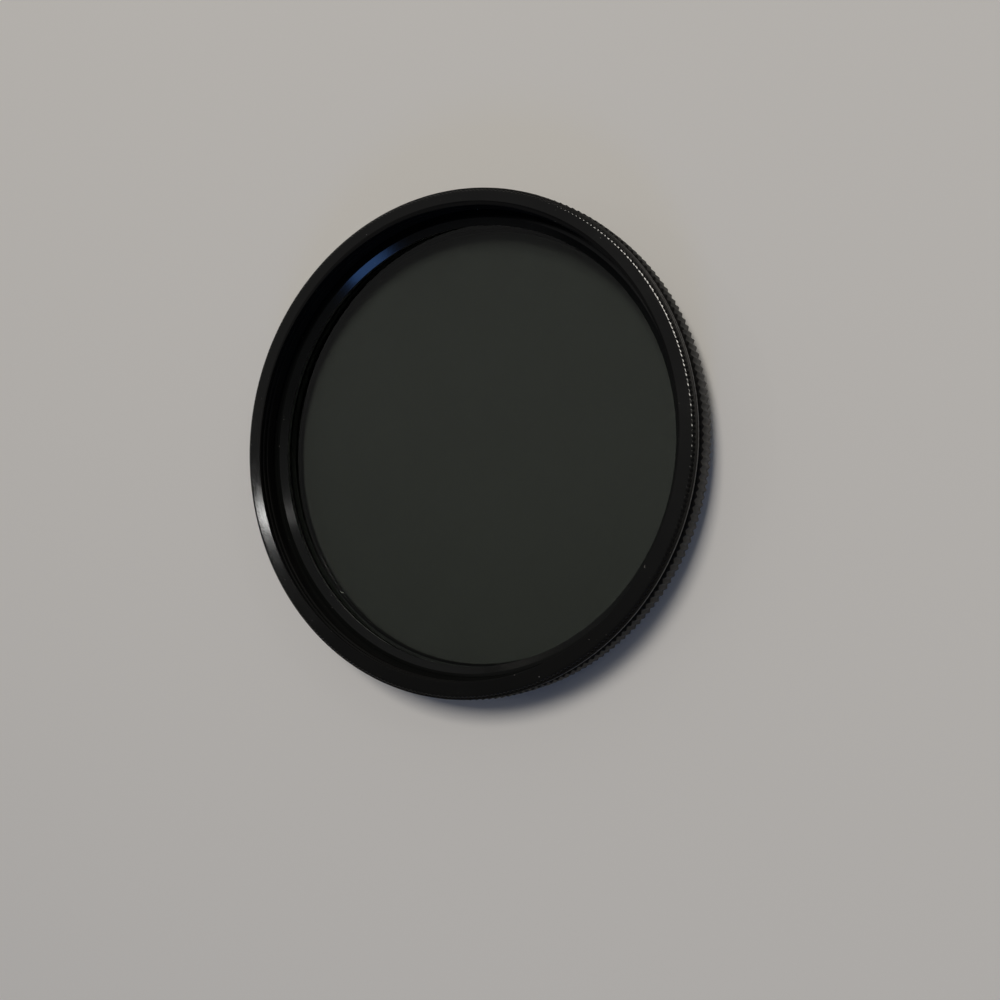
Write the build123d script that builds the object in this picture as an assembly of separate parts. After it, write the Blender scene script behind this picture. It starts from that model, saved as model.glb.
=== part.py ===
from build123d import *
import os
from math import cos, pi, sin

# A turning screw-in polarising filter. Sizes are in millimetres, Z is the optical axis and points to
# the front, and z = 0 is the rear end of the male thread, on which the filter lies.

# Thread and fits
thread_diameter = 58.0         # nominal filter thread, male behind and female in front
thread_clearance = 0.05        # the male thread is this much smaller in radius, the female one larger
running_clearance = 0.05       # radial and axial play of the turning front ring
seat_clearance = 0.05          # play of the glass in its pocket and of the retaining ring in its bore
cut_margin = 1.0               # how far a cutting shape reaches past the face that it opens

# Rear ring, which screws into the lens
rear_thread_length = 2.3
rear_thread_wall = 0.85
rear_thread_chamfer = 0.25
grip_height = 3.6              # knurled band
grip_wall = 1.3                # from the bearing bore to the crests of the ridges
grip_floor = 0.6               # floor under the front ring's shoulder
grip_ridge_count = 228
grip_ridge_depth = 0.24
grip_chamfer = 0.3
bearing_chamfer = 0.15         # lead-in at the mouth of the bearing bore

# Front ring, which turns in the rear ring and carries the glass
front_wall = 0.6               # behind the female thread
front_shoulder = 0.45          # height of the shoulder that runs on the rear ring's floor
ring_gap = 0.7                 # open groove between the two grips
flange_overhang = 1.1          # from the bearing to the plain lip under the fine knurl
flange_height = 0.9
lip_height = 0.55
lip_step = 0.25                # the fine knurl's crests stand back from the lip
fine_ridge_count = 344
fine_ridge_depth = 0.14
fine_chamfer = 0.12
thread_entry_chamfer = 0.45
spigot_wall = 0.45             # round the glass
seat_width = 0.45
seat_height = 0.6
retainer_step = 0.85           # from the glass pocket to the retaining ring's bore

# Snap ring, an open ring of flat spring wire that holds the two rings together
snap_width = 0.6
snap_height = 0.4
snap_play = 0.05               # between the snap ring and its grooves
snap_rise = 0.5                # from the front ring's shoulder to the middle of the wire
snap_opening = 15.0            # degrees left open between its ends
rear_groove_depth = 0.35
front_groove_depth = 0.35

# Cemented glass
glass_thickness = 0.8          # each of the two panes
polariser_thickness = 0.2
retarder_thickness = 0.2

# Retaining ring
retainer_height = 0.8
retainer_overlap = 0.3         # how far it reaches over the glass
retainer_bevel = 0.3           # at its inner edge
retainer_preload = 0.05        # the ring bears on the glass and stays this far off the front ring

# Radii that follow
male_radius = thread_diameter / 2 - thread_clearance
female_radius = thread_diameter / 2 + thread_clearance
rear_bore_radius = male_radius - rear_thread_wall
spigot_radius = rear_bore_radius - running_clearance
pocket_radius = spigot_radius - spigot_wall
glass_radius = pocket_radius - seat_clearance
aperture_radius = pocket_radius - seat_width
retainer_bore_radius = pocket_radius + retainer_step
retainer_radius = retainer_bore_radius - seat_clearance
retainer_inner_radius = glass_radius - retainer_overlap
sleeve_radius = female_radius + front_wall
bearing_radius = sleeve_radius + running_clearance
grip_radius = bearing_radius + grip_wall
lip_radius = sleeve_radius + flange_overhang
fine_radius = lip_radius - lip_step
rear_groove_radius = bearing_radius + rear_groove_depth
front_groove_radius = sleeve_radius - front_groove_depth

# Heights that follow
floor_level = rear_thread_length + grip_floor
ledge_level = rear_thread_length + grip_height
shoulder_level = floor_level + running_clearance
pocket_level = shoulder_level + front_shoulder
glass_front_level = pocket_level + retainer_preload
polariser_level = glass_front_level - glass_thickness - polariser_thickness
retarder_level = polariser_level - retarder_thickness
glass_rear_level = retarder_level - glass_thickness
spigot_level = glass_rear_level - seat_height
thread_floor_level = glass_front_level + retainer_height
flange_level = ledge_level + ring_gap
knurl_level = flange_level + lip_height
front_level = flange_level + flange_height
snap_level = shoulder_level + snap_rise
groove_bottom = snap_level - snap_height / 2 - snap_play
groove_top = snap_level + snap_height / 2 + snap_play


def turned(points):
    """A solid of revolution about the optical axis from (radius, height) corners."""
    corners = [(radius, 0, height) for radius, height in points]
    return revolve(make_face(Polyline(*corners, close=True)), Axis.Z)


def ridge_outline(crest, depth, count, level):
    """A flat outline of V ridges, at its level."""
    corners = []
    for step in range(2 * count):
        radius = crest if step % 2 == 0 else crest - depth
        angle = pi * step / count
        corners.append((radius * cos(angle), radius * sin(angle), level))
    return make_face(Polyline(*corners, close=True))


def knurled_disc(crest, depth, count, rims):
    """A disc with straight V ridges, through the (height, inset) rims that bevel its ends."""
    outlines = []
    for level, inset in rims:
        share = 1 - inset / crest
        outlines.append(ridge_outline(crest * share, depth * share, count, level))
    return loft(outlines, ruled=True)


def rear_ring():
    """Male thread, shoulder, knurled grip and the bearing that the front ring turns in."""
    grip = knurled_disc(grip_radius, grip_ridge_depth, grip_ridge_count, [
        (rear_thread_length, grip_chamfer),
        (rear_thread_length + grip_chamfer, 0),
        (ledge_level - grip_chamfer, 0),
        (ledge_level, grip_chamfer),
    ])
    thread = turned([
        (0, 0),
        (male_radius - rear_thread_chamfer, 0),
        (male_radius, rear_thread_chamfer),
        (male_radius, floor_level),
        (0, floor_level),
    ])
    inside = turned([
        (0, -cut_margin),
        (rear_bore_radius, -cut_margin),
        (rear_bore_radius, floor_level),
        (bearing_radius, floor_level),
        (bearing_radius, groove_bottom),
        (rear_groove_radius, groove_bottom),
        (rear_groove_radius, groove_top),
        (bearing_radius, groove_top),
        (bearing_radius, ledge_level - bearing_chamfer),
        (bearing_radius + bearing_chamfer, ledge_level),
        (bearing_radius + bearing_chamfer, ledge_level + cut_margin),
        (0, ledge_level + cut_margin),
    ])
    return grip + thread - inside


def front_ring():
    """Female thread, glass pocket, bearing and the flange with its fine knurl."""
    body = turned([
        (0, spigot_level),
        (spigot_radius, spigot_level),
        (spigot_radius, shoulder_level),
        (sleeve_radius, shoulder_level),
        (sleeve_radius, groove_bottom),
        (front_groove_radius, groove_bottom),
        (front_groove_radius, groove_top),
        (sleeve_radius, groove_top),
        (sleeve_radius, flange_level),
        (lip_radius, flange_level),
        (lip_radius, knurl_level),
        (0, knurl_level),
    ])
    rim = knurled_disc(fine_radius, fine_ridge_depth, fine_ridge_count, [
        (knurl_level, 0),
        (front_level - fine_chamfer, 0),
        (front_level, fine_chamfer),
    ])
    inside = turned([
        (0, spigot_level - cut_margin),
        (aperture_radius, spigot_level - cut_margin),
        (aperture_radius, glass_rear_level),
        (pocket_radius, glass_rear_level),
        (pocket_radius, pocket_level),
        (retainer_bore_radius, pocket_level),
        (retainer_bore_radius, thread_floor_level),
        (female_radius, thread_floor_level),
        (female_radius, front_level - thread_entry_chamfer),
        (female_radius + thread_entry_chamfer, front_level),
        (female_radius + thread_entry_chamfer, front_level + cut_margin),
        (0, front_level + cut_margin),
    ])
    return body + rim - inside


def snap_ring():
    """An open ring of flat wire, sprung into the groove of the rear ring's bearing."""
    outer = rear_groove_radius - snap_play
    section = make_face(Polyline(
        (outer - snap_width, 0, snap_level - snap_height / 2),
        (outer, 0, snap_level - snap_height / 2),
        (outer, 0, snap_level + snap_height / 2),
        (outer - snap_width, 0, snap_level + snap_height / 2),
        close=True,
    ))
    return Rot(0, 0, snap_opening / 2) * revolve(section, Axis.Z, 360 - snap_opening)


def retaining_ring():
    """A plain ring that holds the glass down, bevelled at its inner edge."""
    return turned([
        (retainer_inner_radius, glass_front_level),
        (retainer_radius, glass_front_level),
        (retainer_radius, thread_floor_level),
        (retainer_inner_radius + retainer_bevel, thread_floor_level),
        (retainer_inner_radius, thread_floor_level - retainer_bevel),
    ])


def disc(bottom, thickness):
    """One pane or film of the cemented glass."""
    return Pos(0, 0, bottom) * extrude(Circle(glass_radius), thickness)


pieces = {
    "rear_ring": rear_ring(),
    "snap_ring": snap_ring(),
    "front_ring": front_ring(),
    "rear_glass": disc(glass_rear_level, glass_thickness),
    "retarder_film": disc(retarder_level, retarder_thickness),
    "polarising_film": disc(polariser_level, polariser_thickness),
    "front_glass": disc(glass_front_level - glass_thickness, glass_thickness),
    "glass_retaining_ring": retaining_ring(),
}

os.makedirs("parts", exist_ok=True)
for node, solid in pieces.items():
    solid.label = node
    export_step(solid, f"parts/{node}.step")
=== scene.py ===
import math

import bmesh
import bpy
from mathutils import Matrix, Vector


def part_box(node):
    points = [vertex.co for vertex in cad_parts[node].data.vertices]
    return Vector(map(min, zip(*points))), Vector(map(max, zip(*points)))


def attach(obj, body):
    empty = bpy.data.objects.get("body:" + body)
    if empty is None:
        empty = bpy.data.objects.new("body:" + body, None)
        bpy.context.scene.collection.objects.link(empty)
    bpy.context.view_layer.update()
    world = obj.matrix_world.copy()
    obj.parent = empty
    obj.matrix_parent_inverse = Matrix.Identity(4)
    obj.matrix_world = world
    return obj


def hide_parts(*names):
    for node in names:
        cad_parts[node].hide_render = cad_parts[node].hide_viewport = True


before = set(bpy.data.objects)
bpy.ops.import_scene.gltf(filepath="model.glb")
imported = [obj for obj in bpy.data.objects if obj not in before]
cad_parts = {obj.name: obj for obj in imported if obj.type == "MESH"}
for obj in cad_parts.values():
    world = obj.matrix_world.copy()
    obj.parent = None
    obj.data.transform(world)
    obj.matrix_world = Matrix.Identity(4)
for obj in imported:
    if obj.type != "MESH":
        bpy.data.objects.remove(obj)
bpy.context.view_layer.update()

# Sizes are in millimetres, as in the part's source, and become metres when a mesh is made. What the
# frame shows is read from it. The rest are the solids' sizes, except where a comment says otherwise.
MILLIMETRE = 0.001


def lowest(node):
    """A node's smallest coordinates."""
    return [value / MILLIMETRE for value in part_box(node)[0]]


def highest(node):
    """A node's largest coordinates."""
    return [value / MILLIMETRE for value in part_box(node)[1]]


# Threads, M58 x 0.75, which are plain walls on the solids
thread_pitch = 0.75
thread_depth = 0.42
thread_start = 0.72            # share of a turn by which the thread is turned about the axis
flank_slope = 2.2              # of the thread's flanks, where 1 is a plain V without flats
root_cut = 0.35                # taken off the foot of the flanks, which leaves a flat root
rows_per_turn = 14             # rings of points along one turn of the thread

# Rear ring
grip_radius = highest("rear_ring")[0]
ledge_level = highest("rear_ring")[2]
shoulder_level = 2.3
floor_level = 2.9
rear_bore_radius = 28.1
male_radius = 28.95
bearing_radius = 29.7
bearing_chamfer = 0.15
rear_groove_radius = 30.05
groove_bottom = 3.2
groove_top = 3.7
grip_ridges = 228
grip_ridge_depth = 0.24
grip_bevel = 0.3
grip_points = 8                # along one ridge
thread_entry = 0.25
thread_relief = 0.3            # plain neck between the thread and the shoulder

# Front ring
lip_radius = highest("front_ring")[0]
front_level = highest("front_ring")[2]
spigot_level = lowest("front_ring")[2]
spigot_radius = 28.05
sleeve_level = 2.95
sleeve_radius = 29.65
front_groove_radius = 29.3
flange_height = 0.9
lip_height = 0.55
lip_step = 0.25
fine_ridges = 344
fine_ridge_depth = 0.14
fine_bevel = 0.12
fine_points = 6                # along one ridge
female_radius = 29.05
female_entry = 0.04            # bevel of the crest at the front, smaller than on the solid
female_neck = 1.35             # plain wall between the thread and the retaining ring
flange_level = front_level - flange_height
knurl_level = flange_level + lip_height
fine_radius = lip_radius - lip_step

# Retaining ring and glass
retainer_radius = highest("glass_retaining_ring")[0]
retainer_level = highest("glass_retaining_ring")[2]
retainer_bore_radius = 28.45
retainer_overlap = 0.3         # how far it reaches over the glass
retainer_bevel = 0.75          # slopes down to the glass, larger than on the solid
pocket_radius = 27.6
pocket_level = 3.4
aperture_radius = 27.15
glass_radius = highest("front_glass")[0]
retainer_inner_radius = glass_radius - retainer_overlap
glass_front_level = highest("front_glass")[2]
glass_rear_level = lowest("rear_glass")[2]
glass_bevel = 0.12             # left out on the solids
film_margin = 0.12             # clear rim of cement round the films, left out on the solids
cement_gap = 0.01              # keeps the cemented faces apart in the picture

# Roundings and edges, which the solids don't have
edge_round = 0.05
soft_round = 0.1
knurl_corner = 50.0            # degrees from which an edge counts as sharp, on a knurled piece
plain_corner = 40.0            # the same on a plain ring

# Points of the meshes
arc_points = 4                 # steps along one rounding
knurl_step = 4                 # points of a knurl to one point of the plain faces beside it
ring_points = 480              # round the retaining ring
disc_points = 256              # round a pane or film


# Meshes
def rounded(corners):
    """Section points from (radius, height, rounding) corners: each corner becomes a short curve."""
    points = []
    for i, (radius, height, rounding) in enumerate(corners):
        corner = Vector((radius, height))
        if rounding == 0:
            points.append(corner)
            continue
        before = Vector(corners[i - 1][:2]) - corner
        after = Vector(corners[i + 1][:2]) - corner
        start = corner + before.normalized() * rounding
        end = corner + after.normalized() * rounding
        for step in range(arc_points + 1):
            t = step / arc_points
            points.append(start * (1 - t) ** 2 + corner * 2 * t * (1 - t) + end * t ** 2)
    return points


def step_angle(i, count):
    """Angle of one of the even steps round the axis."""
    return 2 * math.pi * i / count


def around(radii, level):
    """One ring of points, from the radius at each even step round the axis."""
    points = []
    for i, radius in enumerate(radii):
        angle = step_angle(i, len(radii))
        points.append((radius * math.cos(angle), radius * math.sin(angle), level))
    return points


def ridged(crest, depth, ridges, per_ridge, level):
    """One ring of points over ridges with rounded crests and roots."""
    radii = []
    for i in range(ridges * per_ridge):
        fall = 1 - abs(1 - 2 * (i % per_ridge) / per_ridge)
        blend = (fall + (1 - math.cos(math.pi * fall)) / 2) / 2
        radii.append(crest - depth * blend)
    return around(radii, level)


def grip_ring(level, inset):
    """One ring of points over the rear ring's knurl, drawn in towards the axis by the inset."""
    share = 1 - inset / grip_radius
    return ridged(grip_radius * share, grip_ridge_depth * share, grip_ridges, grip_points, level)


def fine_ring(level, inset):
    """The same over the front ring's knurl."""
    share = 1 - inset / fine_radius
    return ridged(fine_radius * share, fine_ridge_depth * share, fine_ridges, fine_points, level)


def bevel_rims(width):
    """(rise, inset) of the rims that round the end of a knurl."""
    little = 0.15 * width
    most = 0.8 * width
    return [(0, width), (little, most), (most, little), (width, 0)]


def thread_heights(level, count):
    """A right-hand thread round the axis: 0 in its root and 1 on its crest, both with flats."""
    heights = []
    for i in range(count):
        turn = (level / thread_pitch - step_angle(i, count) / (2 * math.pi) + thread_start) % 1
        heights.append(min(max(flank_slope * abs(1 - 2 * turn) - root_cut, 0), 1))
    return heights


class Skin:
    """A closed mesh of rings of points, each joined to the one before it."""

    def __init__(self):
        self.points = []
        self.faces = []
        self.rings = []
        self.slots = []

    def ring(self, points, slot=0):
        start = len(self.points)
        self.points.extend(points)
        self.rings.append(range(start, start + len(points)))
        if len(self.rings) > 1:
            self.join(self.rings[-2], self.rings[-1], slot)

    def turned(self, corners, count, slot=0):
        for radius, level in rounded(corners):
            self.ring(around([radius] * count, level), slot)

    def join(self, first, second, slot=0):
        """Faces between two rings, where the longer one is a whole multiple of the other."""
        short, long = sorted((first, second), key=len)
        step = len(long) // len(short)
        for i, corner in enumerate(short):
            run = [long[(i * step + j) % len(long)] for j in range(step + 1)]
            self.faces.append([corner, *run, short[(i + 1) % len(short)]])
            self.slots.append(slot)

    def loop(self):
        """Joins the last ring to the first."""
        self.join(self.rings[-1], self.rings[0])

    def cap(self, slots=(0, 0)):
        """Closes the first and the last ring with a flat face."""
        self.faces.extend([list(self.rings[0]), list(self.rings[-1])])
        self.slots.extend(slots)

    def piece(self, name, materials, corner=0.0):
        """The mesh as an object, smooth but for edges that turn by the corner's degrees or more."""
        mesh = bpy.data.meshes.new(name)
        mesh.from_pydata([Vector(point) * MILLIMETRE for point in self.points], [], self.faces)
        for material in materials:
            mesh.materials.append(material)
        mesh.polygons.foreach_set("material_index", self.slots)
        build = bmesh.new()
        build.from_mesh(mesh)
        bmesh.ops.recalc_face_normals(build, faces=build.faces)
        for face in build.faces:
            face.smooth = True
        for edge in build.edges:
            edge.smooth = edge.calc_face_angle() < math.radians(corner)
        build.to_mesh(mesh)
        build.free()
        piece = bpy.data.objects.new(name, mesh)
        bpy.context.scene.collection.objects.link(piece)
        return piece


def rear_ring(materials):
    """Male thread, shoulder, knurled grip and bearing, in one turned ring."""
    skin = Skin()
    plain = 0
    # the knurled faces take the grip material, whose lighter colour is a painted sheen of floor light
    knurled = 1
    count = grip_ridges * grip_points // knurl_step
    root = male_radius - thread_depth
    skin.turned([
        (rear_bore_radius, 0, 0),
        (male_radius - thread_entry - edge_round, 0, 0),
    ], count)
    neck_level = shoulder_level - thread_relief
    rows = round(neck_level / thread_pitch * rows_per_turn)
    for row in range(rows + 1):
        level = neck_level * row / rows
        entry_radius = male_radius - thread_entry + level
        radii = [root + thread_depth * height for height in thread_heights(level, count)]
        skin.ring(around([min(radius, entry_radius) for radius in radii], level))
    skin.turned([
        (root, neck_level + edge_round, 0),
        (root, shoulder_level, edge_round),
        (grip_radius - 2 * grip_bevel - grip_ridge_depth, shoulder_level, 0),
    ], count)
    for rise, inset in bevel_rims(grip_bevel):
        skin.ring(grip_ring(shoulder_level + rise, inset), knurled)
    for rise, inset in reversed(bevel_rims(grip_bevel)):
        skin.ring(grip_ring(ledge_level - rise, inset), knurled if inset == 0 else plain)
    skin.turned([
        (grip_radius - 2 * grip_bevel - grip_ridge_depth, ledge_level, 0),
        (bearing_radius + bearing_chamfer, ledge_level, edge_round),
        (bearing_radius, ledge_level - bearing_chamfer, edge_round),
        (bearing_radius, groove_top, edge_round),
        (rear_groove_radius, groove_top, edge_round),
        (rear_groove_radius, groove_bottom, edge_round),
        (bearing_radius, groove_bottom, edge_round),
        (bearing_radius, floor_level, edge_round),
        (rear_bore_radius, floor_level, edge_round),
        (rear_bore_radius, edge_round, 0),
    ], count)
    skin.loop()
    return skin.piece("rear_ring_body", materials, knurl_corner)


def front_ring(materials):
    """Spigot, bearing, lip, fine knurl, female thread and glass pocket, in one turned ring."""
    skin = Skin()
    count = fine_ridges * fine_points // knurl_step
    flat = 0
    threaded = 1
    inner = 2
    knurled = 3
    skin.turned([
        (aperture_radius, spigot_level + edge_round, 0),
        (aperture_radius + edge_round, spigot_level, 0),
        (spigot_radius, spigot_level, soft_round),
        (spigot_radius, sleeve_level, edge_round),
        (sleeve_radius, sleeve_level, soft_round),
        (sleeve_radius, groove_bottom, edge_round),
        (front_groove_radius, groove_bottom, edge_round),
        (front_groove_radius, groove_top, edge_round),
        (sleeve_radius, groove_top, edge_round),
        (sleeve_radius, flange_level, soft_round),
        (lip_radius, flange_level, soft_round),
        (lip_radius, knurl_level, soft_round),
        (fine_radius + edge_round, knurl_level, 0),
    ], count, knurled)
    skin.ring(fine_ring(knurl_level, 0), knurled)
    for rise, inset in reversed(bevel_rims(fine_bevel)):
        skin.ring(fine_ring(front_level - rise, inset), knurled)
    skin.turned([
        (fine_radius - 2 * fine_bevel - fine_ridge_depth, front_level, 0),
        (female_radius + 2 * edge_round, front_level, 0),
    ], count)
    thread_bottom = retainer_level + female_neck
    rows = round((front_level - thread_bottom) / thread_pitch * rows_per_turn)
    for row in range(rows + 1):
        level = front_level + (thread_bottom - front_level) * row / rows
        entry_radius = female_radius - thread_depth + female_entry - (front_level - level)
        radii = [female_radius - thread_depth * height for height in thread_heights(level, count)]
        points = around([max(radius, entry_radius) for radius in radii], level)
        if row == 0:
            edge = 1 + edge_round / female_radius
            skin.ring([(x * edge, y * edge, z) for x, y, z in points], flat)
        skin.ring(points, threaded)
    skin.turned([
        (female_radius, thread_bottom - edge_round, 0),
        (female_radius, retainer_level, 0),
    ], count, threaded)
    skin.turned([
        (retainer_bore_radius, retainer_level, 0),
        (retainer_bore_radius, pocket_level, edge_round),
        (pocket_radius, pocket_level, edge_round),
        (pocket_radius, glass_rear_level, edge_round),
        (aperture_radius, glass_rear_level, edge_round),
        (aperture_radius, spigot_level + 2 * edge_round, 0),
    ], count, inner)
    skin.loop()
    return skin.piece("front_ring_body", materials, knurl_corner)


def retaining_ring(material):
    """A plain ring over the edge of the glass, bevelled at its inner edge."""
    skin = Skin()
    skin.turned([
        (retainer_inner_radius, glass_front_level, 0),
        (retainer_radius, glass_front_level, 0),
        (retainer_radius, retainer_level, 0),
        (retainer_inner_radius + retainer_bevel, retainer_level, 0),
        (retainer_inner_radius, retainer_level - retainer_bevel, 0),
    ], ring_points)
    skin.loop()
    return skin.piece("glass_retaining_ring_body", [material], plain_corner)


def pane(name, bottom, top, materials, cemented):
    """A glass disc, polished on one face, cemented on the other and ground at its edge."""
    skin = Skin()
    polished = 0
    joined = 1
    ground = 2
    foot = cement_gap if cemented == "bottom" else glass_bevel
    head = cement_gap if cemented == "top" else glass_bevel
    skin.turned([
        (glass_radius - foot, bottom, 0),
        (glass_radius, bottom + foot, 0),
        (glass_radius, top - head, 0),
        (glass_radius - head, top, 0),
    ], disc_points, ground)
    skin.cap((joined, polished) if cemented == "bottom" else (polished, joined))
    return skin.piece(name, materials)


def film(name, node, material):
    """A thin sheet cemented between the panes, cut a little smaller than they are."""
    skin = Skin()
    bottom = lowest(node)[2] + cement_gap
    top = highest(node)[2] - cement_gap
    radius = glass_radius - film_margin
    skin.turned([(radius, bottom, 0), (radius, top, 0)], disc_points)
    skin.cap()
    return skin.piece(name, [material])


# Materials
MIX_SHARE = 0                  # sockets of a Mix node for colours, which share their names with others
MIX_FIRST = 6
MIX_SECOND = 7
MIX_RESULT = 2


class Nodes:
    """Short calls for a material's nodes."""

    def __init__(self, name):
        self.material = bpy.data.materials.new(name)
        self.material.use_nodes = True
        self.tree = self.material.node_tree
        self.tree.nodes.clear()
        self.output = self.tree.nodes.new("ShaderNodeOutputMaterial")

    def add(self, kind, **settings):
        node = self.tree.nodes.new(kind)
        for name, value in settings.items():
            setattr(node, name, value)
        return node

    def link(self, source, target):
        self.tree.links.new(source, target)

    def place(self):
        """Places on the object, in metres from the optical axis and the rear end."""
        return self.add("ShaderNodeTexCoord").outputs["Object"]

    def math(self, operation, first, second=None):
        node = self.add("ShaderNodeMath", operation=operation)
        for socket, value in zip(node.inputs, (first, second)):
            if isinstance(value, (int, float)):
                socket.default_value = value
            elif value is not None:
                self.link(value, socket)
        return node.outputs[0]

    def noise(self, vector, scale, detail):
        node = self.add("ShaderNodeTexNoise")
        node.inputs["Scale"].default_value = scale
        node.inputs["Detail"].default_value = detail
        self.link(vector, node.inputs["Vector"])
        return node.outputs["Fac"]

    def range(self, value, low, high, new_low, new_high):
        node = self.add("ShaderNodeMapRange")
        names = ("From Min", "From Max", "To Min", "To Max")
        for name, number in zip(names, (low, high, new_low, new_high)):
            node.inputs[name].default_value = number
        self.link(value, node.inputs["Value"])
        return node.outputs["Result"]

    def colours(self, share, first, second):
        """From the first colour to the second, each a colour or another node's output."""
        node = self.add("ShaderNodeMix", data_type="RGBA")
        self.link(share, node.inputs[MIX_SHARE])
        for index, colour in ((MIX_FIRST, first), (MIX_SECOND, second)):
            if isinstance(colour, tuple):
                node.inputs[index].default_value = (*colour, 1)
            else:
                self.link(colour, node.inputs[index])
        return node.outputs[MIX_RESULT]

    def layered(self, share, first, second):
        """From the first shader to the second."""
        node = self.add("ShaderNodeMixShader")
        for socket, source in zip(node.inputs, (share, first, second)):
            self.link(source, socket)
        return node.outputs[0]

    def surface(self, shader):
        """The finished material."""
        self.link(shader, self.output.inputs["Surface"])
        return self.material

    def bump(self, height, strength, distance):
        node = self.add("ShaderNodeBump")
        node.inputs["Strength"].default_value = strength
        node.inputs["Distance"].default_value = distance
        self.link(height, node.inputs["Height"])
        return node.outputs["Normal"]

    def turning(self, vector):
        """Places as (distance from the axis, height), so that a texture follows the lathe's marks."""
        parts = self.add("ShaderNodeSeparateXYZ")
        self.link(vector, parts.inputs[0])
        across = self.math("POWER", parts.outputs[0], 2.0)
        along = self.math("POWER", parts.outputs[1], 2.0)
        radius = self.math("SQRT", self.math("ADD", across, along))
        joined = self.add("ShaderNodeCombineXYZ")
        self.link(radius, joined.inputs[0])
        self.link(parts.outputs[2], joined.inputs[1])
        return joined.outputs[0]


def anodised(name, dark, light, roughness, gloss):
    """Black anodised aluminium: fine lathe marks under a thin satin oxide, with a little dust."""
    nodes = Nodes(name)
    place = nodes.place()
    marks = nodes.noise(nodes.turning(place), scale=26000.0, detail=1.0)
    grain = nodes.noise(place, scale=9000.0, detail=3.0)
    cloud = nodes.noise(place, scale=160.0, detail=3.0)
    specks = nodes.noise(place, scale=3300.0, detail=1.0)
    dust = nodes.range(specks, 0.79, 0.83, 0.0, 1.0)
    dust_colour = (0.2, 0.19, 0.18)
    shader = nodes.add("ShaderNodeBsdfPrincipled")
    tone = nodes.colours(cloud, dark, light)
    nodes.link(nodes.colours(dust, tone, dust_colour), shader.inputs["Base Color"])
    worn = nodes.range(cloud, 0.3, 0.7, -0.04, 0.04)
    uneven = nodes.range(grain, 0.2, 0.8, -0.03, 0.03)
    spread = nodes.math("ADD", worn, uneven)
    nodes.link(nodes.math("ADD", spread, roughness), shader.inputs["Roughness"])
    cut = nodes.math("MULTIPLY", marks, 0.6)
    oxide = nodes.math("MULTIPLY", grain, 0.4)
    height = nodes.math("ADD", cut, oxide)
    nodes.link(nodes.bump(height, strength=0.25, distance=0.000008), shader.inputs["Normal"])
    shader.inputs["Specular IOR Level"].default_value = gloss
    return nodes.surface(shader.outputs[0])


def spring_steel():
    """Drawn steel wire, bright along its length."""
    nodes = Nodes("spring_wire")
    place = nodes.place()
    lines = nodes.noise(nodes.turning(place), scale=30000.0, detail=1.0)
    shader = nodes.add("ShaderNodeBsdfPrincipled")
    tone = nodes.colours(lines, (0.42, 0.41, 0.4), (0.56, 0.55, 0.54))
    nodes.link(tone, shader.inputs["Base Color"])
    nodes.link(nodes.range(lines, 0.2, 0.8, 0.28, 0.42), shader.inputs["Roughness"])
    shader.inputs["Metallic"].default_value = 1.0
    nodes.link(nodes.bump(lines, strength=0.2, distance=0.000006), shader.inputs["Normal"])
    return nodes.surface(shader.outputs[0])


def polished_glass():
    """A polished face: a mirror at low angles, clear straight on, with dust and a faint haze."""
    nodes = Nodes("pane_glass")
    place = nodes.place()
    clear = nodes.add("ShaderNodeBsdfTransparent")
    clear.inputs["Color"].default_value = (0.985, 0.99, 0.985, 1)
    mirror = nodes.add("ShaderNodeBsdfGlossy")
    mirror.inputs["Color"].default_value = (1, 1, 1, 1)
    haze = nodes.noise(place, scale=90.0, detail=3.0)
    nodes.link(nodes.range(haze, 0.3, 0.7, 0.008, 0.02), mirror.inputs["Roughness"])
    fresnel = nodes.add("ShaderNodeFresnel")
    fresnel.inputs["IOR"].default_value = 1.52
    face = nodes.layered(fresnel.outputs[0], clear.outputs[0], mirror.outputs[0])
    specks = nodes.noise(place, scale=2600.0, detail=1.0)
    dust = nodes.add("ShaderNodeBsdfDiffuse")
    dust.inputs["Color"].default_value = (0.4, 0.39, 0.37, 1)
    dust_share = nodes.range(specks, 0.8, 0.84, 0.0, 0.55)
    return nodes.surface(nodes.layered(dust_share, face, dust.outputs[0]))


def ground_glass():
    """The fine-ground edge of a pane, dull and grey."""
    nodes = Nodes("pane_ground_edge")
    grain = nodes.noise(nodes.place(), scale=9000.0, detail=2.0)
    shader = nodes.add("ShaderNodeBsdfDiffuse")
    tone = nodes.colours(grain, (0.28, 0.29, 0.285), (0.34, 0.35, 0.345))
    nodes.link(tone, shader.inputs["Color"])
    return nodes.surface(shader.outputs[0])


def see_through(name, first, second):
    """A clear layer that only tints what is behind it, a little unevenly."""
    nodes = Nodes(name)
    tint = nodes.add("ShaderNodeBsdfTransparent")
    cloud = nodes.noise(nodes.place(), scale=45.0, detail=2.0)
    nodes.link(nodes.colours(cloud, first, second), tint.inputs["Color"])
    return nodes.surface(tint.outputs[0])


def floor_paper():
    """The plain pale floor."""
    nodes = Nodes("floor")
    shader = nodes.add("ShaderNodeBsdfPrincipled")
    shader.inputs["Base Color"].default_value = (0.78, 0.77, 0.755, 1)
    shader.inputs["Roughness"].default_value = 0.9
    shader.inputs["Specular IOR Level"].default_value = 0.1
    return nodes.surface(shader.outputs[0])


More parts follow.
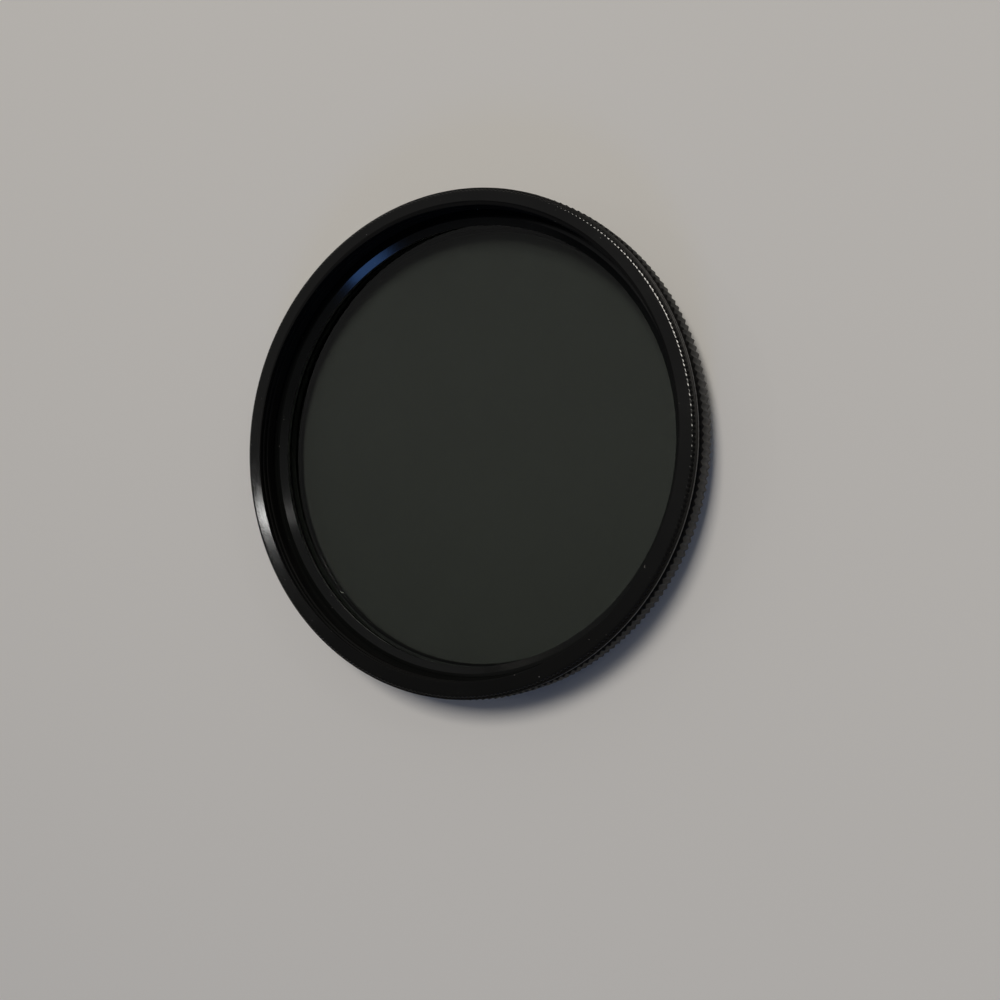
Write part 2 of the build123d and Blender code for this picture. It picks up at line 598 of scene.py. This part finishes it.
# The object
black = anodised(
    "black_anodised",
    dark=(0.003, 0.003, 0.0028), light=(0.0042, 0.0042, 0.004), roughness=0.11, gloss=0.55,
)
# Knurled grip: matte black anodised, with a base colour ten times lighter than the other black parts, which
# paints the sheen of floor light on the knurl
black_grip_painted_sheen = anodised(
    "black_anodised_grip_painted_sheen",
    dark=(0.028, 0.0275, 0.026), light=(0.036, 0.0355, 0.0335), roughness=0.5, gloss=0.12,
)
black_knurl = anodised(
    "black_anodised_knurl",
    dark=(0.004, 0.004, 0.0038), light=(0.0055, 0.0055, 0.0052), roughness=0.32, gloss=0.17,
)
black_thread = anodised(
    "black_anodised_thread",
    dark=(0.007, 0.007, 0.007), light=(0.009, 0.009, 0.009), roughness=0.6, gloss=0.05,
)
black_inner = anodised(
    "black_anodised_inner",
    dark=(0.0045, 0.005, 0.0048), light=(0.006, 0.0065, 0.0063), roughness=0.16, gloss=0.42,
)
glass = polished_glass()
ground_edge = ground_glass()
cement = see_through("pane_cement", (1.0, 1.0, 1.0), (0.995, 1.0, 0.995))
polariser = see_through("polarising_film", (0.493, 0.508, 0.503), (0.503, 0.518, 0.513))
retarder = see_through("retarder_film", (0.98, 0.985, 0.975), (0.99, 0.99, 0.985))

pane_bottom = lowest("front_glass")[2]
pane_top = highest("rear_glass")[2]
parts = [
    (rear_ring([black_thread, black_grip_painted_sheen]), "rear", "rear_ring", "black_anodised"),
    (front_ring([black, black_thread, black_inner, black_knurl]), "front", "front_ring", "black_anodised"),
    (retaining_ring(black_inner), "front", "glass_retaining_ring", "black_anodised_inner"),
    (
        pane("front_pane", pane_bottom, glass_front_level, [glass, cement, ground_edge], "bottom"),
        "front", "front_glass", "pane_glass",
    ),
    (film("polarising_sheet", "polarising_film", polariser), "front", "polarising_film", "polarising_film"),
    (film("retarder_sheet", "retarder_film", retarder), "front", "retarder_film", "retarder_film"),
    (
        pane("rear_pane", glass_rear_level, pane_top, [glass, cement, ground_edge], "top"),
        "front", "rear_glass", "pane_glass",
    ),
]
for piece, body, node, slot in parts:
    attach(piece, body)
    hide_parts(node)

snap_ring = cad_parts["snap_ring"]
snap_ring.data.materials.clear()
snap_ring.data.materials.append(spring_steel())

# Floor
floor_size = 3.0               # metres
floor_mesh = bpy.data.meshes.new("floor")
corner = floor_size / 2
floor_mesh.from_pydata(
    [(-corner, -corner, 0), (corner, -corner, 0), (corner, corner, 0), (-corner, corner, 0)],
    [],
    [(0, 1, 2, 3)],
)
floor_mesh.materials.append(floor_paper())
floor = bpy.data.objects.new("floor", floor_mesh)
bpy.context.scene.collection.objects.link(floor)

# Camera: the photograph's angle, worked out from the ellipses of the rings
camera_tilt = math.radians(27.10)
camera_heading = math.radians(-4.27)
camera_distance = 121.6
camera_aim_level = ledge_level
image_size = 1000.0
focal_pixels = 1000.0
aim_pixel = (452.8, 443.4)
sensor_width = 36.0

sideways = Vector((math.cos(camera_heading), math.sin(camera_heading), 0))
tilt = Matrix.Rotation(camera_tilt, 3, Vector((0, 0, 1)).cross(sideways))
right, upward, back = tilt.col
shift_right = (aim_pixel[0] - image_size / 2) / focal_pixels * camera_distance
shift_up = (image_size / 2 - aim_pixel[1]) / focal_pixels * camera_distance
place = Vector((0, 0, camera_aim_level)) + camera_distance * back - shift_right * right - shift_up * upward
camera_data = bpy.data.cameras.new("camera")
camera_data.sensor_width = sensor_width
camera_data.lens = sensor_width * focal_pixels / image_size
camera_data.clip_start = MILLIMETRE
camera = bpy.data.objects.new("camera", camera_data)
camera.matrix_world = Matrix.Translation(place * MILLIMETRE) @ tilt.to_4x4()
bpy.context.scene.collection.objects.link(camera)
bpy.context.scene.camera = camera


# Light
def softbox(name, direction, distance, width, power, colour):
    """A square lamp that looks at the object from that direction. Lengths are in metres."""
    data = bpy.data.lights.new(name, "AREA")
    data.shape = "SQUARE"
    data.size = width
    data.energy = power
    data.color = colour
    lamp = bpy.data.objects.new(name, data)
    towards = Vector(direction).normalized()
    lamp.location = towards * distance
    lamp.rotation_euler = towards.to_track_quat("Z", "Y").to_euler()
    bpy.context.scene.collection.objects.link(lamp)


softbox(
    "lamp",
    direction=(0.05, 0.38, 0.924), distance=1.0, width=0.3, power=4.7, colour=(1.0, 0.95, 0.87),
)
softbox(
    "left_lamp",
    direction=(-0.66, 0.006, 0.7515), distance=1.024, width=0.03, power=0.085, colour=(1.0, 0.99, 0.97),
)
softbox(
    "right_lamp",
    direction=(0.673, 0.44, 0.589), distance=1.0, width=0.1, power=0.1, colour=(1.0, 0.98, 0.95),
)
softbox(
    "blue_window",
    direction=(0.1, -0.86, 0.5), distance=1.0, width=0.25, power=0.64, colour=(0.15, 0.38, 1.0),
)


def room():
    """The world's soft light, which fades towards the near side."""
    world = bpy.data.worlds.new("room")
    world.use_nodes = True
    tree = world.node_tree
    background = tree.nodes["Background"]
    background.inputs["Color"].default_value = (1.0, 0.99, 0.98, 1)
    direction = tree.nodes.new("ShaderNodeTexCoord")
    sides = tree.nodes.new("ShaderNodeSeparateXYZ")
    fade = tree.nodes.new("ShaderNodeMapRange")
    fade.interpolation_type = "SMOOTHSTEP"
    fade.inputs["From Min"].default_value = -0.25
    fade.inputs["From Max"].default_value = 0.2
    fade.inputs["To Min"].default_value = 0.05
    fade.inputs["To Max"].default_value = 0.17
    tree.links.new(direction.outputs["Generated"], sides.inputs[0])
    tree.links.new(sides.outputs["Y"], fade.inputs["Value"])
    tree.links.new(fade.outputs["Result"], background.inputs["Strength"])
    return world


bpy.context.scene.world = room()
bpy.context.scene.view_settings.view_transform = "Standard"
bpy.context.scene.cycles.transparent_max_bounces = 24  # more than eight faces, both ways
